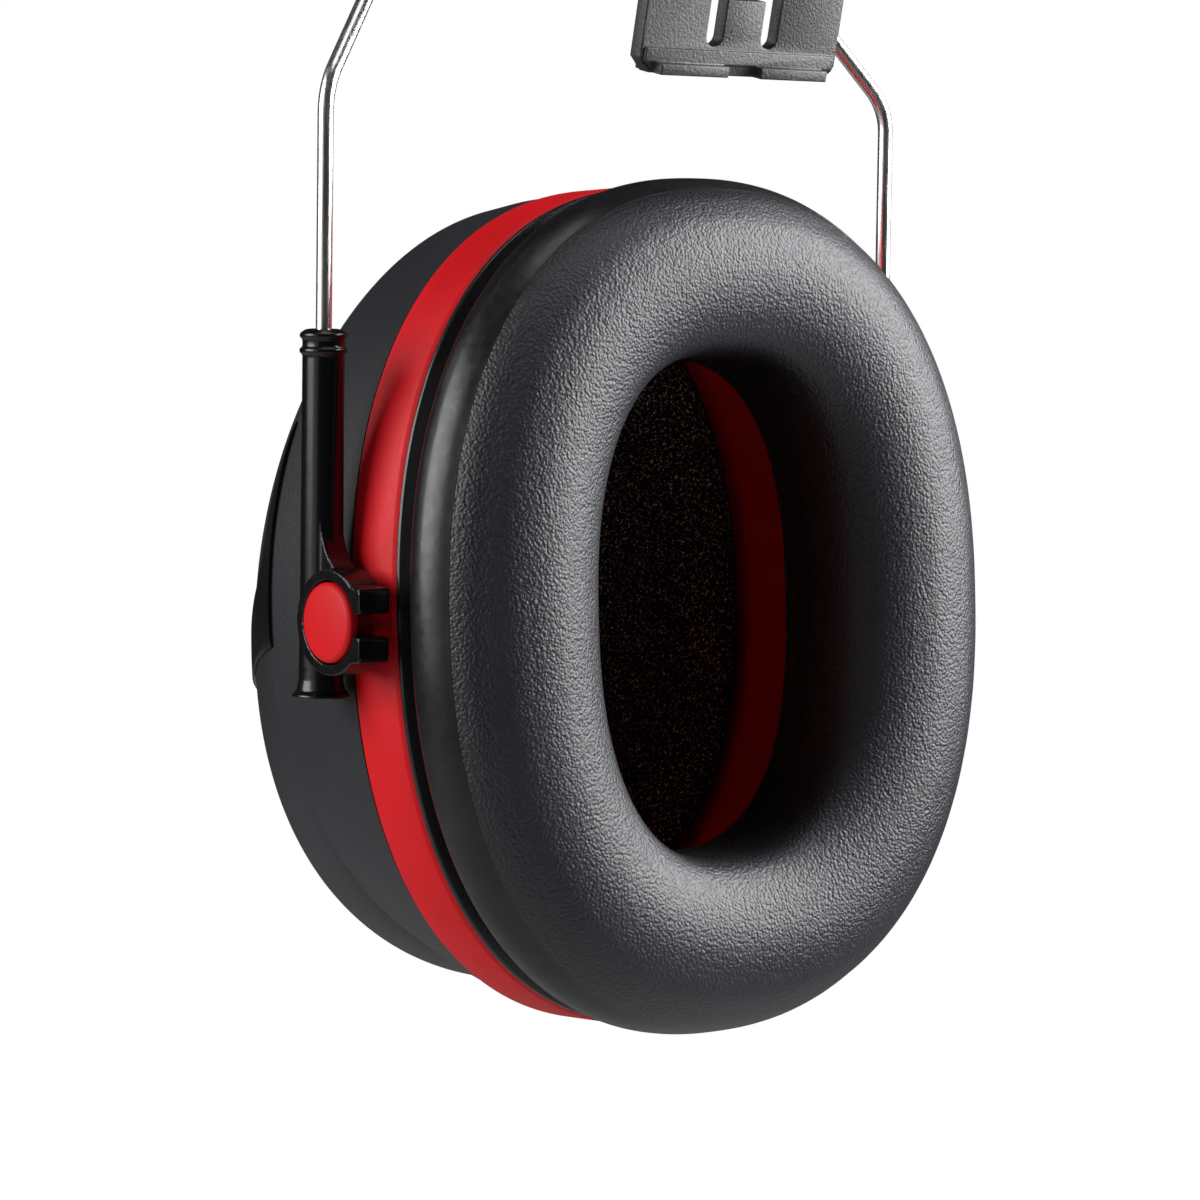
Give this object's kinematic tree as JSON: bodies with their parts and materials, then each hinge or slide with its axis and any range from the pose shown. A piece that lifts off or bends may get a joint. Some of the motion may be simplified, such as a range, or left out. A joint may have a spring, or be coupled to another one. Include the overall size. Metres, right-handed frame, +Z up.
{
  "type": "earmuff hearing protector",
  "caption": "Helmet-mounted earmuff cup with padded cushion, held by two sleeves on a bent wire yoke that hangs from a sprung arm with a blade for a helmet slot.",
  "frame": {"origin": "middle of the blade's flat face that lies against the helmet shell", "axes": "+Z up along the yoke's legs, +X along the cup's pivot axis, -Y towards the head"},
  "size_m": [0.103, 0.0796, 0.1714],
  "materials": {
    "helmet_blade": "fine moulded grain",
    "arm_body": "fine moulded grain",
    "arm_cover": "fine moulded grain",
    "cover_screws": "zinc plated",
    "leaf_spring": "rolled",
    "wire_yoke": "drawn stainless, bright",
    "hinge_cam": "moulded",
    "leg_end_stops": "pressed",
    "left_sleeve": "glossy moulded",
    "right_sleeve": "glossy moulded",
    "outer_casing": "fine matt texture",
    "side_inlays": "polished",
    "casing_seal": "matt",
    "damping_layer": "soft foam",
    "inner_casing": "satin moulded",
    "liner_foam": "open-cell foam",
    "cushion_plate": "moulded",
    "cushion_foam": "soft foam",
    "cushion_fluid_pad": "filled pouch",
    "cushion_skirt": "smooth glossy foil",
    "cushion_face": "fine pebble grain"
  },
  "bodies": {
    "helmet_arm": {"helmet_blade": "helmet_blade", "arm_body": "arm_body", "arm_cover": "arm_cover", "cover_screws": "cover_screws", "leaf_spring": "leaf_spring"},
    "yoke": {"wire_yoke": "wire_yoke", "hinge_cam": "hinge_cam", "leg_end_stops": "leg_end_stops"},
    "left_slider": {"left_sleeve": "left_sleeve"},
    "right_slider": {"right_sleeve": "right_sleeve"},
    "cup": {"outer_casing": "outer_casing", "side_inlays": "side_inlays", "casing_seal": "casing_seal", "damping_layer": "damping_layer", "inner_casing": "inner_casing", "liner_foam": "liner_foam", "cushion_plate": "cushion_plate", "cushion_foam": "cushion_foam", "cushion_fluid_pad": "cushion_fluid_pad", "cushion_skirt": "cushion_skirt", "cushion_face": "cushion_face"}
  },
  "joints": [
    {"name": "arm_swing", "type": "hinge", "parent": "helmet_arm", "child": "yoke", "pos_m": [0, 0.04079, 0.0259], "axis": [1, 0, 0], "range_deg": [0, 50], "stiffness_Nm_per_rad": 0.8, "springref_deg": -14.32},
    {"name": "left_height", "type": "slide", "parent": "yoke", "child": "left_slider", "axis": [0, 0, 1], "range_m": [-0.022, 0.004]},
    {"name": "right_height", "type": "slide", "parent": "yoke", "child": "right_slider", "axis": [0, 0, 1], "range_m": [-0.022, 0.004]},
    {"name": "cup_tilt", "type": "hinge", "parent": "left_slider", "child": "cup", "pos_m": [0, 0.01969, -0.0831], "axis": [1, 0, 0], "range_deg": [-9, 9]}
  ],
  "couplings": [
    {"joint": "right_height", "follows": "left_height", "ratio": 1}
  ]
}
